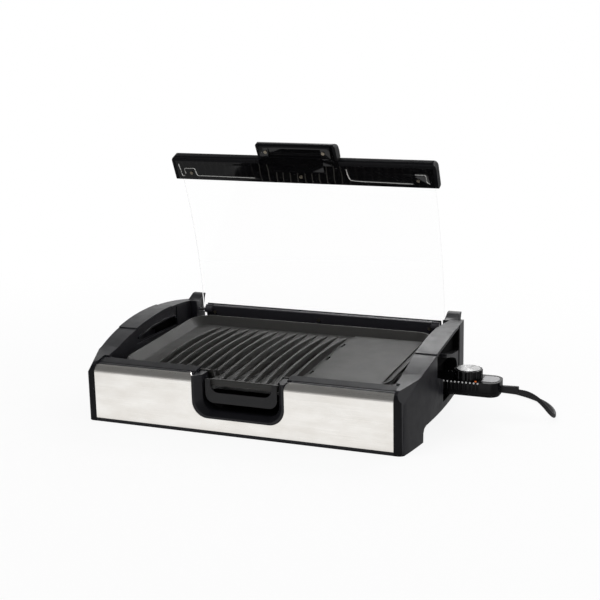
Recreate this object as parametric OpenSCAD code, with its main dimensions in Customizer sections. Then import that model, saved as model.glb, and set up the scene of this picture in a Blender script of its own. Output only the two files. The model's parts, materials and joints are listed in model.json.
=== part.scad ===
// Countertop electric grill: a housing with a steel front, a sloped non-stick grill plate,
// a curved glass lid on rear hinges, a slide-out drip tray and a plug-in temperature control.
// Millimetres. +X right, +Y back, +Z up. The origin is the middle of the front rest strip.
// The lid is drawn open, the tray in and the control plugged in.

/* [Housing] */
// Width of the housing at its front corners
front_w = 524; // [500:2:540]
// How far each side bulges out past its front corner
side_bulge = 14; // [8:1:20]
// Depth of the housing
body_d = 345; // [335:1:360]
// Height of the front rim above the table
rim_h = 97; // [94:1:100]
// Height of the side rails at the top of their arch
rail_h = 131.5; // [128:0.5:136]
// Thickness of the moulded walls
wall = 2.8; // [2.2:0.1:3.4]

/* [Steel front] */
// Width of the steel front panel
steel_w = 496; // [480:2:500]
// Thickness of the steel sheet
steel_t = 1.2; // [0.8:0.1:1.6]
// Half of the width of the hand notch in the steel
notch_w = 76.5; // [70:0.5:82]

/* [Grill plate] */
// Width of the grill plate
plate_w = 446; // [430:2:450]
// Slope of the plate down towards the front, in degrees
plate_tilt = 3; // [2:0.25:3.5]
// Height of the plate's rim above its cooking surface
plate_rim = 14; // [10:1:16]
// Number of grill ribs
rib_n = 14; // [8:1:14]
// Distance from rib to rib
rib_pitch = 18.3; // [16:0.1:18.4]
// Greatest height of a rib
rib_h = 11; // [8:0.5:12]

/* [Lid] */
// Width of the lid glass
glass_w = 452; // [440:1:456]
// Thickness of the lid glass
glass_t = 4; // [3:0.5:5]
// Radius to which the glass is bent
glass_r = 847; // [800:1:1000]
// Distance from the hinge to the far edge of the front bar
lid_reach = 296; // [292:1:298]
// How far the lid stands open, in degrees
lid_open = 76.5; // [0:0.5:88]
// Width of the lid handle
handle_w = 140; // [120:1:144]

/* [Drip tray] */
// Width of the drip tray
tray_w = 120; // [100:1:122]
// Depth of the drip tray from front to back
tray_d = 250; // [150:5:270]

/* [Temperature control] */
// Length of the plug-in control
control_l = 108; // [100:1:116]
// Width of the plug-in control
control_w = 48; // [44:1:52]
// Thickness of the plug-in control
control_t = 23; // [21:0.5:26]
// Diameter of the temperature knob
knob_d = 45; // [40:0.5:46]
// Width of the flat twin cord
cord_w = 7; // [6:0.5:8]

/* [Hidden] */
$fn = 96;
eps = 0.01;

// Housing: the sides are arcs in plan, and the rails are arcs seen from the side
strip_d = 12;
front_y = -strip_d / 2;
side_r = 900;
side_y = 160;
side_x = front_w / 2 + side_bulge;
corner_r = 10;
corner_trim = 0.2;
rail_x = 241;
arch_y = 240;
arch_r = 600;
front_r = 14;
front_z = 84.2;
shoulder_z = 82.2;
arch_start_y = 62;
skirt_z = 60;
foot_y = 69;
belly_z = 24;
rear_belly_z = 29;

// Distance from the middle to the outer side, or inside it, at a place along the depth
function half_w(y, inset = 0) =
    side_x - side_r + sqrt(pow(side_r - inset, 2) - pow(y - side_y, 2));
// Height of the rail's arch at a place along the depth
function arch_z(y, r = arch_r) = rail_h - arch_r + sqrt(r * r - (y - arch_y) * (y - arch_y));

// Hand hold under each rail
cap_y0 = 124;
cap_y1 = 244;
cap_t = 3.6;
cap_rise = 1.6;
hold_x = 257;
socket_x = 246;
socket_step_z = 84;
step_t = 1.4;

// Front notch
notch_z = 25.4;
notch_r = 26;
ring_w = 64;
ring_z = 33;
ring_r = 20;
ring_d = 12;
rim_y0 = 14.6;
rim_y1 = 33;

// Plate
plate_y0 = 35;
plate_y1 = 306;
plate_z = 77.5;
plate_t = 4;
plate_side = 14;
plate_r = 22;
rib_x0 = -168.5;
plate_l = (plate_y1 - plate_y0) / cos(plate_tilt);
lip_half = 60;
lip_d = 17;
rib_y0 = -15;
rib_y1 = 247;
rib_b = 7.5;
rib_top = 3;
rib_crest_y = 105;
rib_r = 1000;
drain_x = 80;
post_x = 197;

// Hinge and lid: the lid's own frame has its origin on the hinge axis and lies closed
hinge_y = 330.6;
hinge_z = 109.2;
pin_r = 3;
pin_gap = 0.05;
cover_x0 = 229;
cover_x1 = 251;
glass_cy = -124;
glass_top = 15.7;
glass_end = 6;
bar_half = 234;
bar_d = 46;
bar_y = -lid_reach + bar_d / 2 + 1;
bar_tilt = asin((glass_cy - bar_y) / glass_r);
bar_z = glass_top - glass_r + glass_r * cos(bar_tilt);
bar_low = -9;
bar_high = 5;
hinge_bar_w = 438;
hinge_bar_y0 = -8;
hinge_bar_y1 = 15;
lug_w = 14;
lug_r = 6;
split_z = 4;
clamp_z = -1;

// Drip tray
tray_y0 = 13;
tray_low = 46;
tray_r = 14;
tray_wall_h = 12;
tray_front_h = 38;
tray_t = 1.6;

// Temperature control
control_x0 = 250;
control_y = 197;
control_z = 56.5;
control_wall = 2.2;
control_r = 17;
end_plate_x = 329;
parting_z = -4;
knob_x = 305;
knob_h = 14;
knob_gap = 0.4;
spindle_r = 3;
pin_pitch = 24;
pin_d = 4.8;
probe_l = 58;
relief_x = control_x0 + control_l;
relief_z = 53;
relief_l = 27;

// Corner points of the heating element, in the plate's frame
element_z = -plate_t - 4.2;
element_y = control_y - plate_y0;
element_points = [[208, element_y + 12], [180, element_y + 12], [180, 235], [-180, 235],
                  [-180, 45], [180, 45], [180, element_y - 12], [208, element_y - 12]];

// Cord: out of the strain relief, down to the table and round behind the housing
cord_route = [[385, 191, 53], [397, 191.5, 51.5], [407, 193.5, 47], [416, 197.5, 39.5],
              [423, 203.5, 30], [428.5, 211.5, 19.5], [432, 221.5, 11], [433, 233, 5.8],
              [431, 247, 3.8], [426, 263, 3.5], [417, 281, 3.5], [404, 299, 3.5],
              [387, 315, 3.5], [366, 330, 3.5], [342, 342, 3.5], [316, 351, 3.5],
              [288, 357.5, 3.5], [260, 361.5, 3.5], [232, 364, 3.5], [204, 365, 3.5],
              [176, 365, 3.5], [148, 365, 3.5], [120, 365, 3.5], [95, 365, 3.5]];
tail_route = [[95, 445, 10.5], [103, 445, 10.3], [113, 445, 9], [123, 445, 7],
              [133, 445, 5], [143, 445, 3.9], [155, 445, 3.5]];
coil_x = 95;
coil_y = 405;
coil_r = 40;
plug_l = 38;

// Moves what is measured from the front face into place
module from_front() {
    translate([0, front_y, 0]) children();
}

// Draws a side view, given as [y, z], from one x to another
module along_x(x0, x1) {
    translate([x0, 0, 0]) rotate([90, 0, 90]) linear_extrude(x1 - x0) children();
}

// Draws a front view, given as [x, z], from one y to another
module along_y(y0, y1) {
    translate([0, y1, 0]) rotate([90, 0, 0]) linear_extrude(y1 - y0) children();
}

// A rectangle with round corners between two corner points
module round_rect(low, high, r) {
    translate([low[0] + r, low[1]]) square([high[0] - low[0] - 2 * r, high[1] - low[1]]);
    translate([low[0], low[1] + r]) square([high[0] - low[0], high[1] - low[1] - 2 * r]);
    for (x = [low[0] + r, high[0] - r], y = [low[1] + r, high[1] - r])
        translate([x, y]) circle(r = r, $fn = 32);
}

// Mirrors a piece to the other side
module mirrored(side) {
    if (side > 0) children();
    else mirror([1, 0, 0]) children();
}

// A pan head screw pointing down -Z from the origin
module screw(d, l) {
    cylinder(d = d * 1.9, h = d * 0.55);
    translate([0, 0, -l]) cylinder(d = d, h = l + eps);
}

// Plan of the housing: arcs at the sides and small round corners at the front
module plan(inset = 0) {
    corner_x = half_w(corner_r + inset, inset) + corner_trim;
    intersection() {
        translate([side_x - side_r, side_y]) circle(r = side_r - inset, $fn = 360);
        translate([side_r - side_x, side_y]) circle(r = side_r - inset, $fn = 360);
        union() {
            round_rect([-corner_x, inset], [corner_x, 4 * corner_r], corner_r);
            translate([-front_w, corner_r + inset])
                square([2 * front_w, body_d - corner_r - 2 * inset]);
        }
    }
}

// Side view of a side panel, inset by a wall thickness for its hollow
module side_view(inset = 0) {
    difference() {
        union() {
            intersection() {
                translate([arch_y, rail_h - arch_r]) circle(r = arch_r - inset, $fn = 360);
                translate([arch_start_y - 1, 0]) square([body_d - inset - arch_start_y + 1, 200]);
            }
            translate([inset, 0]) square([arch_start_y - inset, shoulder_z]);
            translate([front_r, shoulder_z]) circle(r = front_r - inset, $fn = 64);
            polygon([[front_r, 0], [front_r, shoulder_z + front_r - inset],
                     [arch_start_y, arch_z(arch_start_y) - inset], [arch_start_y, 0]]);
        }
        if (inset == 0) belly_cut();
    }
}

// What the side panel's raised lower edge leaves away behind the foot
module belly_cut() {
    polygon([[foot_y, -1], [foot_y + 0.6, 14], [foot_y + 4, 20.5], [foot_y + 11, belly_z - 0.8],
             [foot_y + 30, belly_z], [foot_y + 110, belly_z + 2.5],
             [body_d + 1, rear_belly_z], [body_d + 1, -1]]);
}

// The hand hole in the outer side, below the rail
module hand_hole() {
    polygon([[131, 115.5], [150, 113.4], [180, 107], [212, 99.5], [243, 94.5], [262, 91.5],
             [266, 92], [268, 95], [268, arch_z(268) - cap_t], [cap_y1 - 1, arch_z(cap_y1) - cap_t],
             [cap_y1 - 1, rail_h], [131, rail_h]]);
}

// The finger slot in the inner side of the rail
module finger_slot() {
    polygon([[138, 97.5], [200, 96.5], [262, 96], [262, 106], [252, 112.5],
             [215, 113], [175, 110.5], [136, 104.5]]);
}

// The recess for the plug-in control
module control_recess() {
    polygon([[127, 84], [155, 74], [157, 70], [157, 37], [250, 37], [253, 68], [248, 77],
             [240, 84.5], [222, 91], [200, 97], [179, 102], [150, 108], [127, 112]]);
}

// Outline of the moulded pocket behind the hand hole
module hold_pocket() {
    polygon([[128.4, 113.2], [150, 110.9], [180, 104.4], [212, 96.9], [243, 91.9],
             [262.4, 88.9], [267.4, 89.6], [270.8, 94], [270.8, arch_z(270.8) - 1.4],
             [257, arch_z(257) - 1.4], [242, rail_h - 1.4], [200, arch_z(200) - 1.4],
             [128.4, arch_z(128.4) - 1.4]]);
}

// Outline of the moulded pocket behind the control's recess
module socket_pocket() {
    polygon([[124.6, 82.6], [153.2, 72.2], [154.6, 69.4], [154.6, 34.6], [252.3, 34.6],
             [255.6, 68.6], [250.2, 78.8], [241.4, 87.2], [222.8, 94], [200.6, 100],
             [179.5, 105], [150.3, 111], [124.6, 115]]);
}

// Space of the control's recess: deep round the control, shallow below the hand hold
module recess_space() {
    along_x(hold_x + wall, side_x + 2) control_recess();
    along_x(socket_x + wall, side_x + 2) intersection() {
        control_recess();
        translate([cap_y0, 0]) square([cap_y1 - cap_y0 + 20, socket_step_z]);
    }
}

// Pocket behind the control's recess, stepped to leave the finger slot free
module socket_shell() {
    difference() {
        along_x(socket_x, side_x + 1) socket_pocket();
        recess_space();
        along_x(socket_x - 1, hold_x) translate([cap_y0 - 1, socket_step_z + wall])
            square([cap_y1 - cap_y0 + 22, 60]);
        translate([socket_x - 1, control_y - 18, control_z - 8]) cube([wall + 2, 36, 16]);
    }
}

// Where the wall between the hand hole and the recess is set back
module set_back() {
    polygon([[127.2, 106], [127.2, 117], [150, 115], [176, 109.5], [176, 100], [150, 106]]);
}

// The rolled lip along the top of the finger slot
module slot_lip() {
    polygon([[128, 102.6], [136, 104.3], [175, 110.3], [215, 112.8], [252, 112.3],
             [256, 109.5], [257, 111.5], [252.6, 114.6], [215, 115.2], [175, 112.7],
             [136, 106.8], [128, 105]]);
}

// Cuts the outer front corner of the rail away on a slant
module shoulder_cut(inset = 0) {
    translate([front_w / 2, 0, 75]) rotate([0, 59.9, -26.1])
        translate([-60, -60, -inset]) cube([120, 120, 60]);
}

// Hollow shell of a side panel, set back above the finger slot
module side_shell() {
    difference() {
        intersection() {
            along_x(rail_x, side_x + 1) side_view();
            linear_extrude(rail_h + 1) plan();
        }
        difference() {
            intersection() {
                along_x(rail_x + wall, side_x + 1) side_view(wall);
                translate([0, 0, -1]) linear_extrude(rail_h + 1) plan(wall);
            }
            shoulder_cut(wall);
        }
        shoulder_cut();
        along_x(rail_x - 1, rail_x + step_t) intersection() {
            translate([arch_y, rail_h - arch_r]) circle(r = arch_r - cap_t, $fn = 360);
            translate([cap_y0, 95]) square([138, 60]);
        }
    }
}

// One side panel with its rail
module side_panel(side) {
    from_front() mirrored(side) difference() {
        union() {
            side_shell();
            along_x(rail_x - 1.2, rail_x + wall - 0.2) slot_lip();
            translate([rail_x - 10, rim_y1 + 0.1, 72.6]) linear_extrude(24) difference() {
                square([10.5, 10]);
                translate([0, 10]) circle(r = 9.4);
            }
            intersection() {
                difference() {
                    along_x(hold_x, side_x + 1) hold_pocket();
                    along_x(hold_x + wall, side_x + 2) hand_hole();
                }
                linear_extrude(rail_h + 1) plan(1);
            }
            if (side > 0) intersection() {
                socket_shell();
                linear_extrude(rail_h + 1) plan(1);
            }
        }
        along_x(rail_x - 1, rail_x + wall + 1)
            translate([wall, -1]) square([body_d - 2 * wall, skirt_z + 1]);
        along_x(rail_x - 1, steel_w / 2) translate([-1, -1]) square([rim_y1 + 1, 200]);
        along_x(rail_x - 1, side_x + 1) cap_view();
        along_x(hold_x + wall, side_x + 1) hand_hole();
        along_x(rail_x - 2, rail_x + wall + 1) finger_slot();
        if (side > 0) recess_space();
        if (side > 0) along_x(266, side_x + 1) set_back();
        if (side > 0) along_x(rail_x - 1, rail_x + wall + 1)
            translate([control_y - 24, skirt_z - 1]) square([48, 12]);
    }
}

// Side view of the cap that covers the hand hold
module cap_view() {
    intersection() {
        difference() {
            translate([arch_y, rail_h - arch_r]) circle(r = arch_r + cap_rise, $fn = 360);
            translate([arch_y, rail_h - arch_r]) circle(r = arch_r - cap_t, $fn = 360);
        }
        translate([cap_y0, 0]) square([cap_y1 - cap_y0, 200]);
    }
}

// Cap on top of a rail, above the hand hole
module grip_cap(side) {
    gap = 0.4;
    from_front() mirrored(side) intersection() {
        along_x(rail_x, side_x + 1) intersection() {
            difference() {
                translate([arch_y, rail_h - arch_r]) circle(r = arch_r + cap_rise, $fn = 360);
                translate([arch_y, rail_h - arch_r]) circle(r = arch_r - cap_t, $fn = 360);
            }
            translate([cap_y0 + gap, 0]) square([cap_y1 - cap_y0 - 2 * gap, 200]);
        }
        linear_extrude(rail_h + cap_rise + 1) plan();
    }
}

module left_side_panel() {
    color([0.16, 0.16, 0.165]) side_panel(-1);
}

module right_side_panel() {
    color([0.16, 0.16, 0.165]) side_panel(1);
}

module left_grip_cap() {
    color([0.2, 0.2, 0.205]) grip_cap(-1);
}

module right_grip_cap() {
    color([0.2, 0.2, 0.205]) grip_cap(1);
}

// Outline of the notch, open at the top
module notch(half, low, r) {
    translate([-half, low + r]) square([2 * half, 200]);
    translate([-half + r, low]) square([2 * (half - r), 200]);
    for (x = [-half + r, half - r]) translate([x, low + r]) circle(r = r);
}

// Front frame: rest strip, backing wall, top rim and the ring round the notch
module front_frame() {
    half = steel_w / 2;
    back = steel_t + 0.2;
    color([0.13, 0.13, 0.135]) from_front() difference() {
        union() {
            difference() {
                along_x(-half, half) union() {
                    square([strip_d, 5.4]);
                    translate([back, 0]) square([wall, front_z - 5.4]);
                    difference() {
                        translate([front_r, front_z - 5.4]) circle(r = front_r - back);
                        translate([front_r, front_z - 5.4]) circle(r = front_r - back - wall);
                        translate([front_r + 1, 0]) square([40, 200]);
                        square([40, front_z - 5.4]);
                    }
                    polygon([[front_r, rim_h - 8.2], [front_r, rim_h - 5.6],
                             [rim_y0, rim_h - 5.6], [rim_y0, rim_h - 4.4],
                             [rim_y0 + 2, rim_h - 3.4], [rim_y1 - 2, rim_h], [rim_y1, rim_h - 0.8],
                             [rim_y1, skirt_z], [rim_y1 - wall, skirt_z],
                             [rim_y1 - wall, rim_h - 3.6]]);
                }
                along_y(-1, rim_y1 + 1) notch(notch_w, notch_z, notch_r);
            }
            along_y(0, rim_y1) intersection() {
                difference() {
                    notch(notch_w, notch_z, notch_r);
                    notch(ring_w, ring_z, ring_r);
                }
                translate([-half, 0]) square([2 * half, rim_h - 7]);
            }
        }
        hull() {
            along_y(-1, -0.9) notch(notch_w - 3, notch_z + 3, notch_r);
            along_y(ring_d, ring_d + 0.1) notch(ring_w, ring_z, ring_r);
        }
    }
}

// Brushed steel front panel with its top edge bent back
module front_panel() {
    half = steel_w / 2 - 0.3;
    color([0.78, 0.76, 0.74]) from_front() difference() {
        along_x(-half, half) difference() {
            union() {
                translate([0, 5.6]) square([front_r, front_z - 11]);
                translate([front_r, front_z - 5.4]) circle(r = front_r);
            }
            translate([steel_t, 0]) square([2 * front_r, front_z - 5.4]);
            translate([front_r, front_z - 5.4]) circle(r = front_r - steel_t);
            translate([front_r + 0.4, 0]) square([2 * front_r, 200]);
            translate([front_r, front_z - 5.4 - 2 * front_r]) square([front_r, 2 * front_r]);
        }
        along_y(-1, rim_y1) notch(notch_w + 0.3, notch_z - 0.3, notch_r);
        for (s = [-1, 1]) along_y(-1, rim_y1) difference() {
            translate([s * (notch_w + 4) - 4, front_z]) square([8, 20]);
            translate([s * (notch_w + 8.3), front_z]) circle(r = 8, $fn = 48);
        }
    }
}

// Bottom pan with legs at the rear, vents and the opening for the control
module base_pan() {
    low = belly_z + 1;
    pan_x = rail_x - eps;
    color([0.12, 0.12, 0.12]) from_front() difference() {
        union() {
            difference() {
                translate([-pan_x, rim_y1, low])
                    cube([2 * pan_x, body_d - wall - rim_y1, 72 - low]);
                translate([-pan_x + wall, rim_y1 + wall, low + wall])
                    cube([2 * (pan_x - wall), body_d - 3 * wall - rim_y1, 100]);
            }
            for (s = [-1, 1]) translate([s * 200, 300, 3]) cylinder(r = 12, h = low);
            for (s = [-1, 1]) translate([s * 50 - 4, 60, low]) cube([8, 200, tray_low - low]);
        }
        translate([-ring_w, 0, low + wall + 5]) cube([2 * ring_w, 50, 100]);
        translate([rail_x - 10, control_y - 24, control_z - 12]) cube([20, 48, 30]);
        for (s = [-1, 1], i = [0:6])
            translate([s * 150 - 45, 90 + i * 24, low - 1]) cube([90, 8, wall + 2]);
    }
}

// Panel across the back, low enough for the lid's bar to swing over it
module rear_panel() {
    color([0.14, 0.14, 0.145]) from_front() difference() {
        translate([-rail_x, body_d - wall, rear_belly_z - 3])
            cube([2 * rail_x, wall, 88 - rear_belly_z + 3]);
        for (i = [-9:9])
            translate([i * 20 - 4, body_d - wall - 1, 48]) cube([8, wall + 2, 22]);
    }
}

// Side view of the fin over the hinge
module fin_view() {
    polygon([[314, 90], [314, arch_z(314)], [322, 125.5], [330, 128.5], [337, 132],
             [342, 134.3], [350, 134.6], [351.5, 133.6], [349, 129.5], [347, 125],
             [346, 119], [345.5, 112], [345.5, 90]]);
}

// Hinge cover: a bracket inside the rail with the pin's bearing, and the fin above it
module hinge_cover(side) {
    from_front() mirrored(side) difference() {
        union() {
            along_x(cover_x0, rail_x - eps) fin_view();
            difference() {
                along_x(rail_x - 1, cover_x1) intersection() {
                    fin_view();
                    translate([300, 100]) square([60, 60]);
                }
                along_x(rail_x - 2, cover_x1 + 1) translate([arch_y, rail_h - arch_r])
                    circle(r = arch_r, $fn = 360);
                along_x(rail_x - eps, cover_x1 + 1) square([body_d, 200 - 80]);
            }
        }
        translate([cover_x0 - 1, hinge_y, hinge_z]) rotate([0, 90, 0])
            cylinder(r = pin_r + pin_gap, h = 11);
    }
}

module left_hinge_cover() {
    color([0.15, 0.15, 0.155]) hinge_cover(-1);
}

module right_hinge_cover() {
    color([0.15, 0.15, 0.155]) hinge_cover(1);
}

// The plate's own frame: its origin is on the cooking surface at the front wall
module plate_frame() {
    from_front() translate([0, plate_y0, plate_z]) rotate([plate_tilt, 0, 0]) children();
}

// Section of the plate's sloped wall; x = 0 is the middle of a round corner
module wall_view() {
    polygon([[plate_r - 4, -plate_t], [plate_r + 3, -plate_t],
             [plate_r + plate_side, plate_rim - 3], [plate_r + plate_side, plate_rim],
             [plate_r + plate_side - 2.6, plate_rim], [plate_r, 0], [plate_r - 4, 0]]);
}

// The plate's walls: two sides, the back, and a front left open for the lip
module plate_walls() {
    x = plate_w / 2 - plate_side - plate_r;
    y0 = plate_side + plate_r;
    y1 = plate_l - plate_side - plate_r;
    for (s = [-1, 1]) mirrored(s) {
        translate([x, 0, 0]) along_y(y0, y1) wall_view();
        translate([x, y1, 0]) rotate_extrude(angle = 90) wall_view();
        translate([x, y0, 0]) rotate([0, 0, -90]) rotate_extrude(angle = 90) wall_view();
        translate([0, y0, 0]) mirror([0, 1, 0]) along_x(lip_half, x) wall_view();
    }
    translate([0, y1, 0]) along_x(-x, x) wall_view();
}

// The plate's floor, between the walls
module plate_floor() {
    x = plate_w / 2 - plate_side;
    translate([0, 0, -plate_t]) linear_extrude(plate_t)
        round_rect([-x, plate_side], [x, plate_l - plate_side], plate_r);
}

// One rib, arched from front to back, longer where it runs out over the front lip
module rib(i) {
    x = rib_x0 + i * rib_pitch;
    y0 = abs(x) + rib_b / 2 < lip_half ? rib_y0 : plate_side + 4;
    intersection() {
        translate([x, 0, 0]) along_y(y0, rib_y1)
            polygon([[-rib_b / 2, -1], [-rib_top / 2, rib_h + 1], [rib_top / 2, rib_h + 1],
                     [rib_b / 2, -1]]);
        along_x(x - rib_b, x + rib_b) translate([rib_crest_y, rib_h - rib_r])
            circle(r = rib_r, $fn = 720);
    }
}

// Grill plate: sloped walls, a ribbed side, a flat side, drain slots and a front lip
module grill_plate() {
    color([0.23, 0.225, 0.215]) plate_frame() difference() {
        union() {
            plate_walls();
            plate_floor();
            along_x(-lip_half, lip_half)
                polygon([[plate_side + 4, 0], [-4, 0], [-lip_d + 6, 5], [-lip_d + 1, 6],
                         [-lip_d, 5], [-lip_d, -plate_t], [plate_side + 4, -plate_t]]);
            for (i = [0:rib_n - 1]) rib(i);
            translate([drain_x + 4, plate_side + 4, -1])
                cube([plate_w / 2 - plate_side - drain_x - 10, plate_l - 2 * plate_side - 8, 4]);
        }
        for (y = [69, 140, 208])
            translate([drain_x - 3, y - 8, -plate_t - 1]) cube([5.4, 16, plate_t + 2]);
    }
}

// Tubular heating element under the plate
module heating_element() {
    r = 4;
    color([0.45, 0.44, 0.43]) plate_frame() union() {
        for (i = [0:len(element_points) - 2])
            let (a = element_points[i], b = element_points[i + 1], v = b - a)
                translate([a[0], a[1], element_z]) rotate([0, 90, atan2(v[1], v[0])])
                    cylinder(r = r, h = norm(v));
        for (i = [1:len(element_points) - 2])
            translate([element_points[i][0], element_points[i][1], element_z]) sphere(r = r);
    }
}

// Clips that hold the element against the plate
module element_clips() {
    color([0.6, 0.6, 0.6]) plate_frame()
        for (x = [-90, 90], y = [45, 235]) difference() {
            translate([x - 5, y - 8, element_z - 5.6]) cube([10, 16, 5.6 + 4.2]);
            translate([x - 6, y, element_z]) rotate([0, 90, 0]) cylinder(r = 4, h = 12);
        }
}

// Reflector sheet between the element and the drip tray
module heat_reflector() {
    t = 1;
    x = rail_x - wall - eps;
    y0 = rim_y1 + wall + 6;
    y1 = body_d - 2 * wall;
    color([0.66, 0.66, 0.67]) from_front() difference() {
        translate([-x, y0, 60]) cube([2 * x, y1 - y0, 9]);
        translate([-x + t, y0 + t, 60 + t]) cube([2 * (x - t), y1 - y0 - 2 * t, 10]);
        for (s = [-1, 1], y = [72, 268]) translate([s * post_x, y, 59]) cylinder(r = 6, h = 4);
        translate([204, control_y - 26, 59]) cube([60, 52, 12]);
    }
}

// Posts that carry the plate
module plate_posts() {
    color([0.3, 0.3, 0.3]) difference() {
        from_front() for (s = [-1, 1], y = [72, 268])
            translate([s * post_x, y, belly_z + 1 + wall]) cylinder(r = 5, h = 90);
        plate_frame() translate([-300, -60, -plate_t]) cube([600, 400, 120]);
    }
}

// Block that holds the element's ends, the pins and the probe's guide
module terminal_block() {
    color([0.85, 0.83, 0.78]) difference() {
        from_front() translate([208, control_y - 20, control_z - 9]) cube([20, 40, 40]);
        plate_frame() translate([-300, -60, element_z - 5]) cube([600, 400, 120]);
        from_front() translate([200, control_y, control_z]) rotate([0, 90, 0])
            cylinder(r = 2.9, h = 40);
        from_front() for (s = [-1, 1])
            translate([214, control_y + s * pin_pitch / 2, control_z]) rotate([0, 90, 0])
                cylinder(d = pin_d, h = 40);
    }
}

// The two pins that the control plugs onto
module terminal_pins() {
    color([0.72, 0.7, 0.66]) from_front() for (s = [-1, 1])
        translate([214, control_y + s * pin_pitch / 2, control_z]) rotate([0, 90, 0])
            cylinder(d = pin_d, h = 48);
}

// Rubber feet under the rear legs
module rear_feet() {
    color([0.08, 0.08, 0.08]) from_front() for (s = [-1, 1])
        translate([s * 200, 300, 0]) {
            cylinder(r = 11, h = 3);
        }
}

// Screws in the underside
module housing_screws() {
    color([0.5, 0.5, 0.5]) from_front() for (s = [-1, 1], y = [120, 230])
        translate([s * 215, y, belly_z + 1]) mirror([0, 0, 1]) screw(3.5, 2);
}

// Drip tray with a raised front wall that dips for the fingers
module drip_tray() {
    half = tray_w / 2;
    color([0.12, 0.12, 0.125]) from_front() difference() {
        union() {
            along_y(tray_y0, tray_y0 + tray_d) intersection() {
                notch(half, tray_low, tray_r);
                translate([-half, 0]) square([2 * half, tray_low + tray_wall_h]);
            }
            along_y(tray_y0, tray_y0 + tray_t) difference() {
                intersection() {
                    notch(half, tray_low, tray_r);
                    translate([-half, 0]) square([2 * half, tray_low + tray_front_h]);
                }
                notch(half - 9, tray_low + 17, 13);
            }
        }
        along_y(tray_y0 + tray_t, tray_y0 + tray_d - tray_t)
            notch(half - tray_t, tray_low + tray_t, tray_r - tray_t);
    }
}

// The lid's own frame, swung open
module lid_frame() {
    translate([0, front_y + hinge_y, hinge_z]) rotate([-lid_open, 0, 0]) children();
}

// The front bar's frame: its origin is in the middle of the glass, -Y towards the handle
module bar_frame() {
    lid_frame() translate([0, bar_y, bar_z]) rotate([bar_tilt, 0, 0]) children();
}

// Bent glass as a solid, in the lid's frame
module bent_sheet(y0, y1, t, half) {
    along_x(-half, half) intersection() {
        difference() {
            translate([glass_cy, glass_top - glass_r]) circle(r = glass_r + t / 2, $fn = 1440);
            translate([glass_cy, glass_top - glass_r]) circle(r = glass_r - t / 2, $fn = 1440);
        }
        translate([y0, -60]) square([y1 - y0, 120]);
    }
}

module lid_glass() {
    color([0.8, 0.85, 0.86, 0.3]) lid_frame()
        bent_sheet(bar_y - 12, glass_end, glass_t, glass_w / 2);
}

// Front bar of the lid, wrapped round the glass's edge
module lid_front_bar() {
    far = -bar_d / 2 - 1;
    near = bar_d / 2 - 1;
    color([0.1, 0.1, 0.105]) difference() {
        bar_frame() difference() {
            intersection() {
                along_x(-bar_half, bar_half) round_rect([far, bar_low], [near, bar_high], 3.5);
                translate([0, 0, -20]) linear_extrude(40)
                    round_rect([-bar_half, far], [bar_half, near + 12], 10);
            }
            translate([-bar_half + 5, -15, bar_low - 1])
                cube([2 * bar_half - 10, bar_d, -glass_t / 2 + 0.1 - bar_low + 1]);
        }
        lid_frame() bent_sheet(bar_y - 12, 0, glass_t, glass_w / 2);
    }
}

// Inner plate of the front bar with its stamped panels
module lid_inner_plate() {
    half = bar_half - 5 - eps;
    color([0.07, 0.07, 0.075]) difference() {
        bar_frame() difference() {
            translate([-half, -15 + eps, bar_low + 0.8])
                cube([2 * half, bar_d - 10, -glass_t / 2 + 0.1 - eps - bar_low - 0.8]);
            for (s = [-1, 1]) mirrored(s) translate([0, 0, bar_low])
                linear_extrude(1.6) stamped_panel();
        }
        lid_frame() bent_sheet(bar_y - 40, 0, glass_t + 0.1, glass_w / 2 + 2);
    }
}

// Outline of one stamped panel
module stamped_panel() {
    polygon([[84, 16], [186, 16], [192, 13], [196, 2], [201, -1], [222, -1], [222, -9],
             [84, -9]]);
}

// Screws of the front bar
module lid_bar_screws() {
    color([0.35, 0.35, 0.35]) bar_frame() for (x = [-202, 0, 202])
        translate([x, 8, bar_low + 0.8]) mirror([0, 0, 1]) screw(3, 2);
}

// Side view of the handle, in the bar's frame
module handle_view(inset = 0) {
    polygon([[-bar_d / 2 - 1 + inset, bar_high - inset], [-37, bar_high - inset],
             [-44 + 0.3 * inset, 3.4 - inset], [-49.5 + 0.7 * inset, 0 - 0.7 * inset],
             [-53.5 + inset, -5 - 0.3 * inset], [-55 + inset, -10],
             [-55 + inset, -12.2 - inset], [-bar_d / 2 - 1 + inset, bar_low - 2 * inset]]);
}

// Lid handle: a cup open towards the inside of the lid
module lid_handle() {
    half = handle_w / 2;
    t = 2.6;
    color([0.1, 0.1, 0.105]) bar_frame() difference() {
        intersection() {
            along_x(-half, half) handle_view();
            translate([0, 0, -30]) linear_extrude(60)
                round_rect([-half, -55], [half, 20], 6);
        }
        along_x(-half + 2 * t, half - 2 * t) handle_view(t);
    }
}

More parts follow.
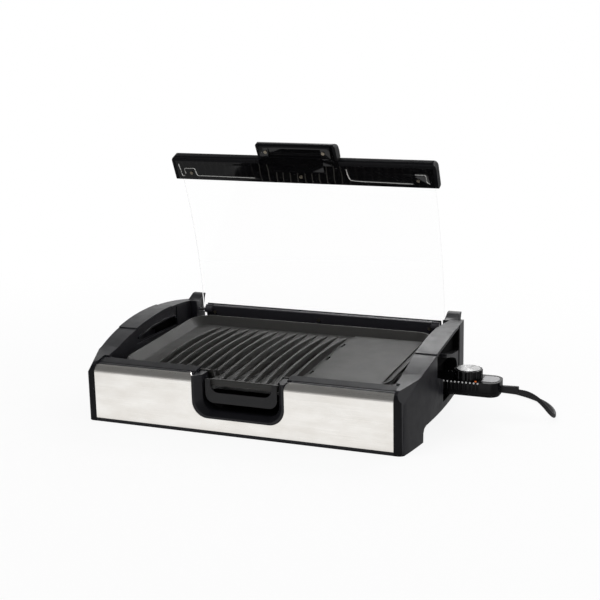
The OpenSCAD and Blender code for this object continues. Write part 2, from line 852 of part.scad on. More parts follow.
// Plate that closes the handle, with a raised middle, a window in it and a flap below
module lid_handle_plate() {
    top = bar_low - eps;
    color([0.06, 0.06, 0.065]) bar_frame() union() {
        along_x(-64.6, 64.6) polygon([[-52.2, -9.4], [-52.2, -12.4], [-24.5, -11.8], [-24.5, top]]);
        along_x(-69.8, 69.8) polygon([[-23.9, top], [-23.9, -11.6], [-15.5, -11.6], [-15.5, top]]);
        along_x(-64.6, 64.6) polygon([[-25, top], [-25, -11.6], [-23, -11.6], [-23, top]]);
        difference() {
            along_x(-62, 62) polygon([[-52, -12], [-50.5, -17], [-31.5, -17], [-30, -11.6]]);
            along_x(-46, 46) polygon([[-48.5, -18], [-48.5, -14], [-33, -14], [-33, -18]]);
        }
        along_x(-46.5, 46.5) polygon([[-39, -13.8], [-38.4, -15.8], [-37, -15.8], [-36.4, -13.8]]);
        along_x(-44.6, 44.6) polygon([[-31, -11.4], [-31, -14.2], [-24, -13.6], [-4.4, -13],
                                      [-3.6, -14.4], [-2.4, -14.2], [-3.2, -11.2]]);
    }
}

module lid_handle_screws() {
    color([0.4, 0.4, 0.4]) bar_frame() for (x = [-50.5, 50.5])
        translate([x, -42, -17]) mirror([0, 0, 1]) screw(3, 2);
}

// Rear bar of the lid, over the glass, with the lugs that hold the hinge pins
module hinge_bar() {
    half = hinge_bar_w / 2;
    color([0.09, 0.09, 0.095]) lid_frame() difference() {
        union() {
            along_x(-half, half) round_rect([hinge_bar_y0, 0], [hinge_bar_y1, 12], 2.5);
            for (s = [-1, 1]) mirrored(s) along_x(half - lug_w, half) circle(r = lug_r);
        }
        along_x(-half + lug_w, half - lug_w) translate([hinge_bar_y0 - 1, -lug_r - 1])
            square([hinge_bar_y1 - hinge_bar_y0 + 2, lug_r + 1 + split_z]);
        along_x(-glass_w / 2 - 1, glass_w / 2 + 1) intersection() {
            translate([glass_cy, glass_top - glass_r])
                circle(r = glass_r + glass_t / 2, $fn = 1440);
            translate([hinge_bar_y0 - 2, split_z - 0.5]) square([glass_end - hinge_bar_y0 + 2, 20]);
        }
        for (s = [-1, 1]) mirrored(s) along_x(half - lug_w - 1, half + 1) circle(r = pin_r);
    }
}

// Strip that clamps the glass against the rear bar
module hinge_clamp() {
    half = hinge_bar_w / 2 - lug_w - 0.2;
    color([0.07, 0.07, 0.075]) lid_frame() intersection() {
        along_x(-half, half)
            round_rect([hinge_bar_y0, clamp_z], [hinge_bar_y1, split_z + 4], 1.5);
        along_x(-half, half) union() {
            translate([glass_end, clamp_z]) square([30, split_z - clamp_z]);
            intersection() {
                translate([glass_cy, glass_top - glass_r])
                    circle(r = glass_r - glass_t / 2, $fn = 1440);
                translate([hinge_bar_y0, clamp_z])
                    square([glass_end - hinge_bar_y0 + eps, split_z + 8]);
            }
        }
    }
}

module hinge_clamp_screws() {
    color([0.45, 0.44, 0.42]) lid_frame() for (x = [-201, 0, 201])
        translate([x, 4, -1]) mirror([0, 0, 1]) screw(3, 1.5);
}

// Hinge pins, fixed in the rear bar's lugs and turning in the hinge covers
module hinge_pins() {
    color([0.6, 0.6, 0.6]) lid_frame() for (s = [-1, 1]) mirrored(s)
        translate([hinge_bar_w / 2 - 13, 0, 0]) rotate([0, 90, 0])
            cylinder(r = pin_r, h = 238.5 - hinge_bar_w / 2 + 13);
}

// Plan of the control, with its far corners rounded
module control_plan(inset = 0) {
    half = control_w / 2 - inset;
    r = control_r - inset;
    x0 = control_x0 + inset;
    x1 = control_x0 + control_l - inset;
    translate([x0, control_y - half]) square([x1 - r - x0, 2 * half]);
    translate([x0, control_y - half + r]) square([x1 - x0, 2 * (half - r)]);
    for (s = [-1, 1]) translate([x1 - r, control_y + s * (half - r)]) circle(r = r);
}

// Upper shell of the control with grip ribs along both sides
module control_upper_shell() {
    z0 = control_z + parting_z;
    top = control_z + control_t / 2;
    color([0.09, 0.09, 0.095]) from_front() difference() {
        union() {
            translate([0, 0, z0]) linear_extrude(top - z0) control_plan();
            for (s = [-1, 1], i = [0:10])
                translate([266 + i * 6, control_y + s * control_w / 2, z0 + 2])
                    cylinder(r = 1.3, h = top - z0 - 3, $fn = 24);
        }
        translate([0, 0, z0 - 1]) linear_extrude(top - z0 - control_wall + 1)
            control_plan(control_wall);
        translate([knob_x, control_y, z0]) cylinder(r = spindle_r + 0.06, h = control_t);
        for (s = [-1, 1]) translate([control_x0 - 1, control_y + s * pin_pitch / 2, control_z])
            rotate([0, 90, 0]) cylinder(d = pin_d + 0.8, h = 6);
        translate([control_x0 - 1, control_y, control_z]) rotate([0, 90, 0])
            cylinder(r = 2.5, h = 6);
        translate([end_plate_x, control_y, top - 1]) linear_extrude(2) end_plan();
    }
}

// Outline of the bare plate on the control's end, from its inner edge
module end_plan() {
    intersection() {
        translate([0, -16]) square([26, 32]);
        translate([6, 0]) circle(r = 20);
    }
}

module control_lower_shell() {
    z0 = control_z - control_t / 2;
    h = control_z + parting_z - z0;
    color([0.07, 0.07, 0.075]) from_front() difference() {
        union() {
            translate([0, 0, z0 + 3]) linear_extrude(h - 3) control_plan();
            translate([0, 0, z0]) linear_extrude(3 + eps) control_plan(1.5);
        }
        translate([0, 0, z0 + control_wall]) linear_extrude(h) control_plan(control_wall + 1.5);
    }
}

module control_end_plate() {
    color([0.7, 0.7, 0.7]) from_front()
        translate([end_plate_x, control_y, control_z + control_t / 2 - 1])
            linear_extrude(1.6) end_plan();
}

module indicator_lens() {
    color([0.85, 0.35, 0.12]) from_front()
        translate([322, control_y - 21, control_z + control_t / 2]) cylinder(d = 4, h = 1.2);
}

// Temperature probe, fixed in the control and reaching under the plate
module probe_rod() {
    color([0.75, 0.75, 0.75]) from_front() translate([control_x0 - probe_l, control_y, control_z])
        rotate([0, 90, 0]) {
            cylinder(r = 2.5, h = probe_l + control_wall);
            sphere(r = 2.5);
        }
}

module control_screws() {
    color([0.4, 0.4, 0.4]) from_front() for (x = [262, 345])
        translate([x, control_y, control_z - control_t / 2]) mirror([0, 0, 1]) screw(2.6, 1.5);
}

// Tapered strain relief with bending grooves
module strain_relief() {
    color([0.1, 0.1, 0.105]) from_front() translate([relief_x, control_y, relief_z])
        rotate([0, 90, 0]) difference() {
            cylinder(r1 = 7, r2 = 5.2, h = relief_l);
            for (i = [0:3]) translate([0, 0, 6 + i * 5]) difference() {
                cylinder(r = 9, h = 2);
                cylinder(r = 4.6, h = 2);
            }
        }
}

// Fluted knob that turns on the control
module control_knob() {
    z0 = control_z + control_t / 2 + knob_gap;
    color([0.06, 0.06, 0.065]) from_front() translate([knob_x, control_y, z0]) difference() {
        cylinder(d = knob_d, h = knob_h);
        for (i = [0:15]) rotate(i * 22.5) translate([knob_d / 2 + 3.8, 0, -1])
            cylinder(r = 5, h = knob_h + 2, $fn = 48);
        translate([0, 0, -1]) cylinder(r = spindle_r, h = knob_h - 3);
    }
}

module knob_cap() {
    z0 = control_z + control_t / 2 + knob_gap + knob_h;
    color([0.8, 0.8, 0.8]) from_front() translate([knob_x, control_y, z0])
        cylinder(r1 = knob_d * 0.43, r2 = knob_d * 0.41, h = 1.2);
}

module knob_spindle() {
    z0 = control_z + parting_z;
    top = control_z + control_t / 2 + knob_gap + knob_h - 4;
    color([0.6, 0.6, 0.6]) from_front() translate([knob_x, control_y, z0])
        cylinder(r = spindle_r, h = top - z0);
}

// A ring of points round a place on a route, square to its direction
function ring_at(c, v, r, n) =
    let (u = v / norm(v), a = norm(cross(u, [0, 0, 1])) > 0.1 ? [0, 0, 1] : [1, 0, 0],
         s = cross(u, a) / norm(cross(u, a)), t = cross(s, u))
    [for (k = [0:n - 1]) c + r * cos(360 * k / n) * s + r * sin(360 * k / n) * t];

// A tube along a route
module tube(path, r, n = 8) {
    m = len(path);
    points = [for (i = [0:m - 1])
              each ring_at(path[i], path[min(i + 1, m - 1)] - path[max(i - 1, 0)], r, n)];
    sides = [for (i = [0:m - 2], k = [0:n - 1])
             [i * n + k, (i + 1) * n + k, (i + 1) * n + (k + 1) % n, i * n + (k + 1) % n]];
    polyhedron(points, concat(sides, [[for (k = [0:n - 1]) k]],
                              [[for (k = [n - 1:-1:0]) (m - 1) * n + k]]));
}

module cord() {
    color([0.06, 0.06, 0.06]) tube(cord_route, cord_w / 2);
}

module cord_tail() {
    color([0.06, 0.06, 0.06]) tube(tail_route, cord_w / 2);
}

// Outer shape of the coil of spare cord, two layers high
module cord_coil() {
    color([0.06, 0.06, 0.06]) translate([coil_x, coil_y, 0]) rotate_extrude()
        round_rect([coil_r - cord_w / 2, 0], [coil_r + cord_w / 2, 2 * cord_w], 3);
}

// Tie round the coil
module cord_tie() {
    r0 = coil_r - cord_w / 2 - 0.1;
    r1 = coil_r + cord_w / 2 + 0.1;
    h = 2 * cord_w;
    color([0.1, 0.1, 0.1]) translate([coil_x, coil_y, 0]) difference() {
        translate([-r1 - 1, -3, 0]) cube([r1 - r0 + 2, 6, h + 1]);
        translate([0, 0, -1]) difference() {
            cylinder(r = r1, h = h + 1.1, $fn = 180);
            cylinder(r = r0, h = h + 1.1, $fn = 180);
        }
    }
}

// Two-blade mains plug lying behind the housing
module cord_plug() {
    end = tail_route[len(tail_route) - 1];
    color([0.06, 0.06, 0.06]) translate([end[0], end[1], 0]) union() {
        translate([0, 0, end[2]]) rotate([0, 90, 0]) cylinder(r1 = 3.4, r2 = 3.5, h = 14);
        translate([12, 0, 0]) linear_extrude(14)
            round_rect([0, -12], [plug_l - 12, 12], 4);
    }
}

module plug_blades() {
    end = tail_route[len(tail_route) - 1];
    color([0.8, 0.72, 0.5]) for (s = [-1, 1])
        translate([end[0] + plug_l, end[1] + s * 6.35 - 0.75, 4]) cube([17, 1.5, 6.3]);
}

base_pan();
front_frame();
front_panel();
left_side_panel();
right_side_panel();
rear_panel();
left_grip_cap();
right_grip_cap();
left_hinge_cover();
right_hinge_cover();
heat_reflector();
grill_plate();
heating_element();
element_clips();
terminal_block();
terminal_pins();
plate_posts();
rear_feet();
housing_screws();
drip_tray();
lid_glass();
lid_front_bar();
lid_inner_plate();
lid_bar_screws();
lid_handle();
lid_handle_plate();
lid_handle_screws();
hinge_bar();
hinge_clamp();
hinge_clamp_screws();
hinge_pins();
control_upper_shell();
control_lower_shell();
control_end_plate();
indicator_lens();
probe_rod();
control_screws();
strain_relief();
control_knob();
knob_cap();
knob_spindle();
cord();
cord_coil();
cord_tail();
cord_tie();
cord_plug();
plug_blades();
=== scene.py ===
"""Looks of the electric grill: camera, cord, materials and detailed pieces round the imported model."""
import json
import math

import bmesh
import bpy
from mathutils import Matrix, Vector


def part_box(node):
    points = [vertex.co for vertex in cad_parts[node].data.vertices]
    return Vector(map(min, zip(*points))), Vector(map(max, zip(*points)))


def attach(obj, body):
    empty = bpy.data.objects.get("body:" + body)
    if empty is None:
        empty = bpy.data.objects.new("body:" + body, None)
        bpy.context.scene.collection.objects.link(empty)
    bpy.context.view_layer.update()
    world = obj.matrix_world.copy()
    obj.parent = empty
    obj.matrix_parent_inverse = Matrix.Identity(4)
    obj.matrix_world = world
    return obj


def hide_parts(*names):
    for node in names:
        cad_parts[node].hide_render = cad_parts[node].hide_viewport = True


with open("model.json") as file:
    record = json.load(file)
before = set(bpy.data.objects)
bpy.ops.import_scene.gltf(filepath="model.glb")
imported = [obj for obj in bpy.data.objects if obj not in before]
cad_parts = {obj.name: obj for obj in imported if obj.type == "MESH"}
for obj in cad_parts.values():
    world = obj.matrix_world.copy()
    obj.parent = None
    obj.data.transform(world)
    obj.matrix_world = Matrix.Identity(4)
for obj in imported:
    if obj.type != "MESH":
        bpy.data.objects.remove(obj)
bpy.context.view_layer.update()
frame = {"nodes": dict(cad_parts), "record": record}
NODES = frame["nodes"]
BODY_OF = {node: body for body, nodes in frame["record"]["behaviour"]["bodies"].items()
           for node in nodes}
SLOT_OF = {row["node"]: row["material_slot"] for row in frame["record"]["subparts"]}

MM = 0.001                      # metres in a millimetre
WHITE = (1, 1, 1, 1)
UP = Vector((0, 0, 1))


# ---------------------------------------------------------------- camera

# The place that the object is seen from, in millimetres and degrees
CAMERA_AT = (779.34, -1583.15, 617.14)
CAMERA_YAW, CAMERA_PITCH, CAMERA_ROLL = -21.179, 13.096, -0.773
SENSOR, LENS = 36.0, 73.12
SHIFT_X, SHIFT_Y = -0.0667, 0.0025
CLIP_START, CLIP_END = 0.05, 30  # metres


def make_camera():
    """The camera, with the small shift that the framing needs."""
    yaw, pitch, roll = (math.radians(a) for a in (CAMERA_YAW, CAMERA_PITCH, CAMERA_ROLL))
    forward = Vector((math.sin(yaw) * math.cos(pitch), math.cos(yaw) * math.cos(pitch),
                      -math.sin(pitch)))
    right = Vector((math.cos(yaw), -math.sin(yaw), 0))
    up = right.cross(forward)
    rolled_right = math.cos(roll) * right + math.sin(roll) * up
    rolled_up = math.cos(roll) * up - math.sin(roll) * right
    data = bpy.data.cameras.new("camera")
    data.lens, data.sensor_width = LENS, SENSOR
    data.shift_x, data.shift_y = SHIFT_X, SHIFT_Y
    data.clip_start, data.clip_end = CLIP_START, CLIP_END
    camera = add_object("camera", data)
    turn = Matrix((rolled_right, rolled_up, -forward)).transposed().to_4x4()
    camera.matrix_world = Matrix.Translation(Vector(CAMERA_AT) * MM) @ turn
    bpy.context.scene.camera = camera


# ---------------------------------------------------------------- mesh helpers

SHARP_FROM = 40                 # degrees: edges of new pieces over it stay sharp


def add_object(name, data):
    """A new object in the scene."""
    piece = bpy.data.objects.new(name, data)
    bpy.context.scene.collection.objects.link(piece)
    return piece


def smooth_by_angle(mesh, angle):
    """Smooth shading, with edges over that angle in degrees kept sharp."""
    mesh.shade_smooth()
    mesh.set_sharp_from_angle(angle=math.radians(angle))
    mesh.update()


def mesh_from(name, verts, faces):
    """A mesh from points in metres, shaded smooth."""
    mesh = bpy.data.meshes.new(name)
    mesh.from_pydata([tuple(v) for v in verts], [], faces)
    smooth_by_angle(mesh, SHARP_FROM)
    return mesh


def closed_piece(name, verts, faces):
    """An object of closed forms, with its faces turned outwards."""
    mesh = mesh_from(name, verts, faces)
    bm = bmesh.new()
    bm.from_mesh(mesh)
    bmesh.ops.recalc_face_normals(bm, faces=bm.faces)
    bm.to_mesh(mesh)
    bm.free()
    return add_object(name, mesh)


def tube_faces(rings, count, base=0):
    """Faces of a closed tube, whose points are rings of so many each and start at number base."""
    last = base + (rings - 1) * count
    faces = [(start + k, start + (k + 1) % count, start + count + (k + 1) % count,
              start + count + k) for start in range(base, last, count) for k in range(count)]
    faces.append(tuple(base + k for k in reversed(range(count))))
    faces.append(tuple(last + k for k in range(count)))
    return faces


def sweep(name, path, section, up):
    """A closed tube along a path: section gives (sideways, upwards) offsets of its outline."""
    points = [Vector(p) for p in path]
    last = len(points) - 1
    verts = []
    for i, point in enumerate(points):
        ahead = (points[min(i + 1, last)] - points[max(i - 1, 0)]).normalized()
        side = ahead.cross(up).normalized()
        lift = side.cross(ahead)
        verts += [point + side * a + lift * b for a, b in section]
    return closed_piece(name, verts, tube_faces(len(points), len(section)))


def spline(points, steps):
    """A Catmull-Rom spline through points in millimetres, in metres, so many steps a stretch."""
    pts = [Vector(p) * MM for p in points]
    line = []
    for i in range(len(pts) - 1):
        a, b = pts[max(i - 1, 0)], pts[i]
        c, d = pts[i + 1], pts[min(i + 2, len(pts) - 1)]
        for k in range(steps):
            t = k / steps
            line.append(0.5 * (2 * b + (c - a) * t + (2 * a - 5 * b + 4 * c - d) * t * t
                               + (3 * b - a - 3 * c + d) * t ** 3))
    line.append(pts[-1])
    return line


# ---------------------------------------------------------------- cord

# The route of part.scad, in millimetres, in the part's own frame
CORD_ROUTE = [(385, 191, 53), (397, 191.5, 51.5), (407, 193.5, 47), (416, 197.5, 39.5),
              (423, 203.5, 30), (428.5, 211.5, 19.5), (432, 221.5, 11), (433, 233, 5.8),
              (431, 247, 3.8), (426, 263, 3.5), (417, 281, 3.5), (404, 299, 3.5),
              (387, 315, 3.5), (366, 330, 3.5), (342, 342, 3.5), (316, 351, 3.5),
              (288, 357.5, 3.5), (260, 361.5, 3.5), (232, 364, 3.5), (204, 365, 3.5),
              (176, 365, 3.5), (148, 365, 3.5), (120, 365, 3.5)]
TAIL_ROUTE = [(95, 445, 10.5), (103, 445, 10.3), (113, 445, 9), (123, 445, 7), (133, 445, 5),
              (143, 445, 3.9), (155, 445, 3.5)]
CORD_W, CORD_T = 7, 4.2
CORD_REST_Z = CORD_W / 2
CORD_STEPS = 4
COIL_AT, COIL_R = (95, 405), 40
# Degrees: where the coil starts, how far it turns, and where in that it climbs a cord's width
COIL_START, COIL_TURN, COIL_STEP = -90, 540, 10
CLIMB_FROM, CLIMB_OVER = 275, 70
CORE_ARC = range(-30, 211, 24)  # degrees of one core's outline, up to the web between the cores


def coil_points():
    """One and a half turns, clockwise, climbing on top of themselves at the end of the first."""
    points = []
    for turned in range(0, COIL_TURN, COIL_STEP):
        angle = math.radians(COIL_START - turned)
        climb = min(max((turned - CLIMB_FROM) / CLIMB_OVER, 0), 1)
        z = CORD_REST_Z + CORD_W * climb * climb * (3 - 2 * climb)
        points.append((COIL_AT[0] + COIL_R * math.cos(angle),
                       COIL_AT[1] + COIL_R * math.sin(angle), z))
    return points


def twin_section(width, thickness):
    """Outline of a flat twin cord standing on its edge: two round cores, one above the other."""
    r = thickness / 2
    offset = width / 2 - r
    half = [(r * math.cos(math.radians(a)), offset + r * math.sin(math.radians(a)))
            for a in CORE_ARC]
    return [(a * MM, b * MM) for a, b in half + [(-a, -b) for a, b in half]]


def make_cord():
    """The whole cord as one flat twin lead, from the strain relief to the plug."""
    line = spline(CORD_ROUTE + coil_points() + TAIL_ROUTE, CORD_STEPS)
    for point in line:
        point.z = max(point.z, CORD_REST_Z * MM)
    cord = sweep("twin_cord", line, twin_section(CORD_W, CORD_T), UP)
    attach(cord, "control")
    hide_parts("cord", "cord_coil", "cord_tail")
    return cord, line


make_camera()
cord, cord_line = make_cord()


# ---------------------------------------------------------------- shader nodes

MIX_COLOR_SOCKETS = (6, 7)      # a Mix node's two colours, which share their names with others
MIX_COLOR_RESULT = 2


def add_node(tree, kind, operation=None, **sockets):
    """A new shader node, with an operation and the values of named sockets."""
    node = tree.nodes.new(kind)
    if operation:
        node.operation = operation
    for key, value in sockets.items():
        node.inputs[key.replace("_", " ")].default_value = value
    return node


def calculate(tree, operation, *values, clamp=False):
    """The result of a Math node for one or two values."""
    node = add_node(tree, "ShaderNodeMath", operation)
    node.use_clamp = clamp
    for socket, value in zip(node.inputs, values):
        tree.links.new(value, socket)
    return node.outputs[0]


def map_range(tree, value, before, after, smooth=False):
    """Maps a value from one range to another, in a straight line or smoothly."""
    node = add_node(tree, "ShaderNodeMapRange", From_Min=before[0], From_Max=before[1],
                    To_Min=after[0], To_Max=after[1])
    if smooth:
        node.interpolation_type = "SMOOTHSTEP"
    tree.links.new(value, node.inputs["Value"])
    return node.outputs["Result"]


def place(tree, system="Object"):
    """A point's own place, and its X, Y and Z."""
    point = add_node(tree, "ShaderNodeTexCoord").outputs[system]
    split = add_node(tree, "ShaderNodeSeparateXYZ")
    tree.links.new(point, split.inputs[0])
    return point, split.outputs


def mapped(tree, **sockets):
    """Object coordinates, stretched or moved."""
    mapping = add_node(tree, "ShaderNodeMapping", **sockets)
    coords = add_node(tree, "ShaderNodeTexCoord")
    tree.links.new(coords.outputs["Object"], mapping.inputs["Vector"])
    return mapping.outputs["Vector"]


def mix_shaders(tree, share, low, high):
    """Mixes two shaders."""
    node = add_node(tree, "ShaderNodeMixShader")
    for socket, value in zip(node.inputs, (share, low, high)):
        tree.links.new(value, socket)
    return node.outputs[0]


# ---------------------------------------------------------------- materials

TEXTURE_RANGE = (0.3, 0.7)      # where nearly all of a noise texture's values lie
GRAIN_DEPTH = 0.00004           # metres


def new_material(name, color, roughness, metallic=0.0, **sockets):
    """A principled material; other sockets are named with _ for each space."""
    mat = bpy.data.materials.new(name)
    mat.use_nodes = True
    shader = mat.node_tree.nodes["Principled BSDF"]
    shader.inputs["Base Color"].default_value = (*color, 1)
    shader.inputs["Roughness"].default_value = roughness
    shader.inputs["Metallic"].default_value = metallic
    for key, value in sockets.items():
        shader.inputs[key.replace("_", " ")].default_value = value
    mat.diffuse_color = (*color, 1)
    return mat


def link_shader(mat, value, socket):
    """Links a value to one of the principled shader's sockets."""
    mat.node_tree.links.new(value, mat.node_tree.nodes["Principled BSDF"].inputs[socket])


def noise(mat, scale, detail=3.0, stretch=(1, 1, 1)):
    """A noise texture in object coordinates, in features per metre."""
    texture = add_node(mat.node_tree, "ShaderNodeTexNoise", Scale=scale, Detail=detail)
    mat.node_tree.links.new(mapped(mat.node_tree, Scale=stretch), texture.inputs["Vector"])
    return texture.outputs["Fac"]


def vary_roughness(mat, value, low, high):
    """Roughness that follows a texture."""
    link_shader(mat, map_range(mat.node_tree, value, TEXTURE_RANGE, (low, high)), "Roughness")


def mix_colors(mat, share, dark, light):
    """Colour that goes from dark to light with a share."""
    tree = mat.node_tree
    mix = tree.nodes.new("ShaderNodeMix")
    mix.data_type = "RGBA"
    for socket, color in zip(MIX_COLOR_SOCKETS, (dark, light)):
        mix.inputs[socket].default_value = (*color, 1)
    tree.links.new(share, mix.inputs[0])
    link_shader(mat, mix.outputs[MIX_COLOR_RESULT], "Base Color")


def vary_color(mat, value, dark, light):
    """Colour that follows a texture."""
    mix_colors(mat, map_range(mat.node_tree, value, TEXTURE_RANGE, (0, 1)), dark, light)


def add_bump(mat, value, strength, depth):
    """Fine relief from a texture; depth is in metres."""
    bump = add_node(mat.node_tree, "ShaderNodeBump", Strength=strength, Distance=depth)
    mat.node_tree.links.new(value, bump.inputs["Height"])
    link_shader(mat, bump.outputs["Normal"], "Normal")


def satin_plastic(name, color, roughness, grain=1400, shine=0.25):
    """Moulded plastic with a fine spark-eroded grain."""
    mat = new_material(name, color, roughness, Specular_IOR_Level=shine)
    vary_roughness(mat, noise(mat, 60, detail=4), roughness - 0.05, roughness + 0.06)
    add_bump(mat, noise(mat, grain, detail=2), strength=0.35, depth=GRAIN_DEPTH)
    return mat


def gloss_plastic(name, color, roughness, waves=0.0, shine=0.5):
    """Shiny plastic or lacquer, with slow waves so many metres deep in its surface."""
    mat = new_material(name, color, roughness, Specular_IOR_Level=shine)
    vary_roughness(mat, noise(mat, 80, detail=4), roughness * 0.7, roughness * 1.4)
    if waves:
        add_bump(mat, noise(mat, 1, detail=1, stretch=(55, 8, 8)), strength=0.5, depth=waves)
    return mat


def brushed_steel(name):
    """Steel brushed along X, with soft warm blotches."""
    mat = new_material(name, (0.88, 0.85, 0.81), 0.3, metallic=1.0)
    blotches = noise(mat, 1, detail=5, stretch=(22, 40, 60))
    vary_color(mat, blotches, dark=(0.84, 0.81, 0.765), light=(0.94, 0.92, 0.885))
    streaks = noise(mat, 1, detail=5, stretch=(12, 900, 1900))
    vary_roughness(mat, streaks, 0.26, 0.36)
    add_bump(mat, streaks, strength=0.12, depth=0.00002)
    return mat


def plain_metal(name, color, roughness):
    """Bare or plated metal with faint blotches."""
    mat = new_material(name, color, roughness, metallic=1.0)
    vary_roughness(mat, noise(mat, 300, detail=4), roughness - 0.06, roughness + 0.08)
    return mat


def nonstick(name):
    """Dark coating sprayed on cast metal."""
    mat = new_material(name, (0.024, 0.0235, 0.022), 0.5, Specular_IOR_Level=0.3)
    vary_color(mat, noise(mat, 900), dark=(0.021, 0.0205, 0.019), light=(0.027, 0.0265, 0.025))
    vary_roughness(mat, noise(mat, 35), 0.47, 0.54)
    add_bump(mat, noise(mat, 1100), strength=0.4, depth=0.00006)
    return mat


def clear_glass(name):
    """Clear glass that mirrors less than real glass, whose refractive index is about 1.5."""
    return new_material(name, (1.0, 1.0, 1.0), 0.0, IOR=1.15, Transmission_Weight=1.0)


def gloss_with_painted_reflections(name, color, light):
    """Pressed glossy sheet with wavy light lines painted into its colour, fainter to its two sides: a
    painted reflection of the grill's ribs.
    """
    mat = gloss_plastic(name, color, roughness=0.06, waves=0.0003)
    tree = mat.node_tree
    point, along = place(tree)
    waves = add_node(tree, "ShaderNodeTexWave", Scale=24, Distortion=2.2, Detail=1,
                     Detail_Scale=1.4)
    tree.links.new(point, waves.inputs["Vector"])
    # The waves' crests become the light lines of the painted reflection
    reflection_lines = map_range(tree, waves.outputs["Fac"], (0.9, 1.0), (0.0, 1.0))
    from_middle = calculate(tree, "ABSOLUTE", along["X"])
    # The painted reflection fades out towards the plate's two sides
    clear = map_range(tree, from_middle, (0.05, 0.09), (1.0, 0.12))
    mix_colors(mat, calculate(tree, "MULTIPLY", reflection_lines, clear), color, light)
    return mat


def spun_metal_painted_sheen(name, dark, light, center):
    """Metal turned on a lathe, whose colour changes with the angle round its centre: a painted sheen
    that stands in for its radial highlights.
    """
    mat = new_material(name, light, 0.25, metallic=1.0)
    tree = mat.node_tree
    from_center = mapped(tree, Location=(-center[0] * MM, -center[1] * MM, 0))
    # Lighter and darker sectors round the centre make the painted sheen
    angle = add_node(tree, "ShaderNodeTexGradient")
    angle.gradient_type = "RADIAL"
    waves = add_node(tree, "ShaderNodeTexNoise", Scale=5, Detail=1)
    waves.noise_dimensions = "1D"
    tree.links.new(from_center, angle.inputs["Vector"])
    tree.links.new(angle.outputs["Fac"], waves.inputs["W"])
    vary_color(mat, waves.outputs["Fac"], dark, light)
    return mat


def amber_lens(name):
    """Translucent amber plastic of the pilot light."""
    mat = new_material(name, (0.75, 0.16, 0.03), 0.2)
    vary_roughness(mat, noise(mat, 500, detail=2), 0.15, 0.3)
    return mat


def recess_painted_shade(name):
    """Painted shade for the unlit inside of a recess: a near-black colour, which shows no more than a
    dark hole does.
    """
    mat = new_material(name, (0.002, 0.002, 0.0022), 0.9, Specular_IOR_Level=0.1)
    vary_color(mat, noise(mat, 200), dark=(0.0015, 0.0015, 0.0016),
               light=(0.0026, 0.0026, 0.0028))
    return mat


KNOB_AT = (305, 191)            # millimetres

# Every slot's finish: its colour, its roughness, and what else its maker takes
MATERIALS = {
    "housing_black": satin_plastic("housing_black", (0.0095, 0.0095, 0.012), 0.38, shine=0.42),
    "lid_black": satin_plastic("lid_black", (0.006, 0.006, 0.007), 0.3),
    "lid_gloss": gloss_plastic("lid_gloss", (0.003, 0.003, 0.0035), 0.06, waves=0.0004,
                               shine=0.35),
    "control_black": gloss_plastic("control_black", (0.003, 0.003, 0.0035), 0.14, shine=0.2),
    "tray_black": satin_plastic("tray_black", (0.010, 0.010, 0.011), 0.36),
    "brushed_steel": brushed_steel("brushed_steel"),
    "nonstick_plate": nonstick("nonstick_plate"),
    "reflector_sheet": plain_metal("reflector_sheet", (0.55, 0.55, 0.55), 0.4),
    "element_sheath": plain_metal("element_sheath", (0.2, 0.19, 0.18), 0.5),
    "zinc_steel": plain_metal("zinc_steel", (0.5, 0.5, 0.5), 0.35),
    "ceramic_block": satin_plastic("ceramic_block", (0.7, 0.67, 0.6), 0.6),
    "rubber_black": satin_plastic("rubber_black", (0.012, 0.012, 0.012), 0.7),
    "lid_glass": clear_glass("lid_glass"),
    "dark_screw": plain_metal("dark_screw", (0.32, 0.28, 0.22), 0.3),
    "brassy_screw": plain_metal("brassy_screw", (0.62, 0.55, 0.42), 0.3),
    "end_plate_silver": plain_metal("end_plate_silver", (0.24, 0.24, 0.245), 0.42),
    "indicator_amber": amber_lens("indicator_amber"),
    "probe_steel": plain_metal("probe_steel", (0.6, 0.6, 0.58), 0.22),
    "knob_cap_silver": spun_metal_painted_sheen("knob_cap_silver", (0.2, 0.2, 0.2), (0.66, 0.66, 0.66), KNOB_AT),
    "cord_black": satin_plastic("cord_black", (0.016, 0.0155, 0.0165), 0.4, grain=700),
    "tie_black": satin_plastic("tie_black", (0.012, 0.012, 0.012), 0.5),
    "brass_blades": plain_metal("brass_blades", (0.7, 0.55, 0.3), 0.3),
}

# Nodes with lighter or darker copies of their slot's finish: painted light on the hinge's bar and
# clamp, painted shade on the front frame and the lid's front bar, and painted reflections on the lid's
# inner plate
VARIANTS = {
    "lid_inner_plate": gloss_with_painted_reflections("lid_gloss_painted_reflections", (0.003, 0.003, 0.0035), (0.05, 0.048, 0.044)),
    "front_frame": satin_plastic("housing_black_front_shade", (0.0085, 0.0085, 0.0105), 0.4),
    # Lighter copies of lid_black: painted light
    "hinge_bar": satin_plastic("lid_black_bar_lit", (0.026, 0.025, 0.03), 0.35),
    "hinge_clamp": satin_plastic("lid_black_clamp_lit", (0.026, 0.025, 0.03), 0.35),
    "lid_front_bar": satin_plastic("lid_black_front_shade", (0.0045, 0.0045, 0.0055), 0.3, shine=0.12),
}
# Painted shade in the side panels' recesses
RECESS_SHADE = recess_painted_shade("recess_painted_shade")
# Painted shade on the side panels' front faces
SHADED_BLACK = satin_plastic("housing_black_painted_shade", (0.006, 0.006, 0.0072), 0.45, shine=0.1)


def paint(piece, slot):
    """Gives a piece one of the finishes."""
    piece.data.materials.clear()
    piece.data.materials.append(MATERIALS[slot])


# ---------------------------------------------------------------- softened copies

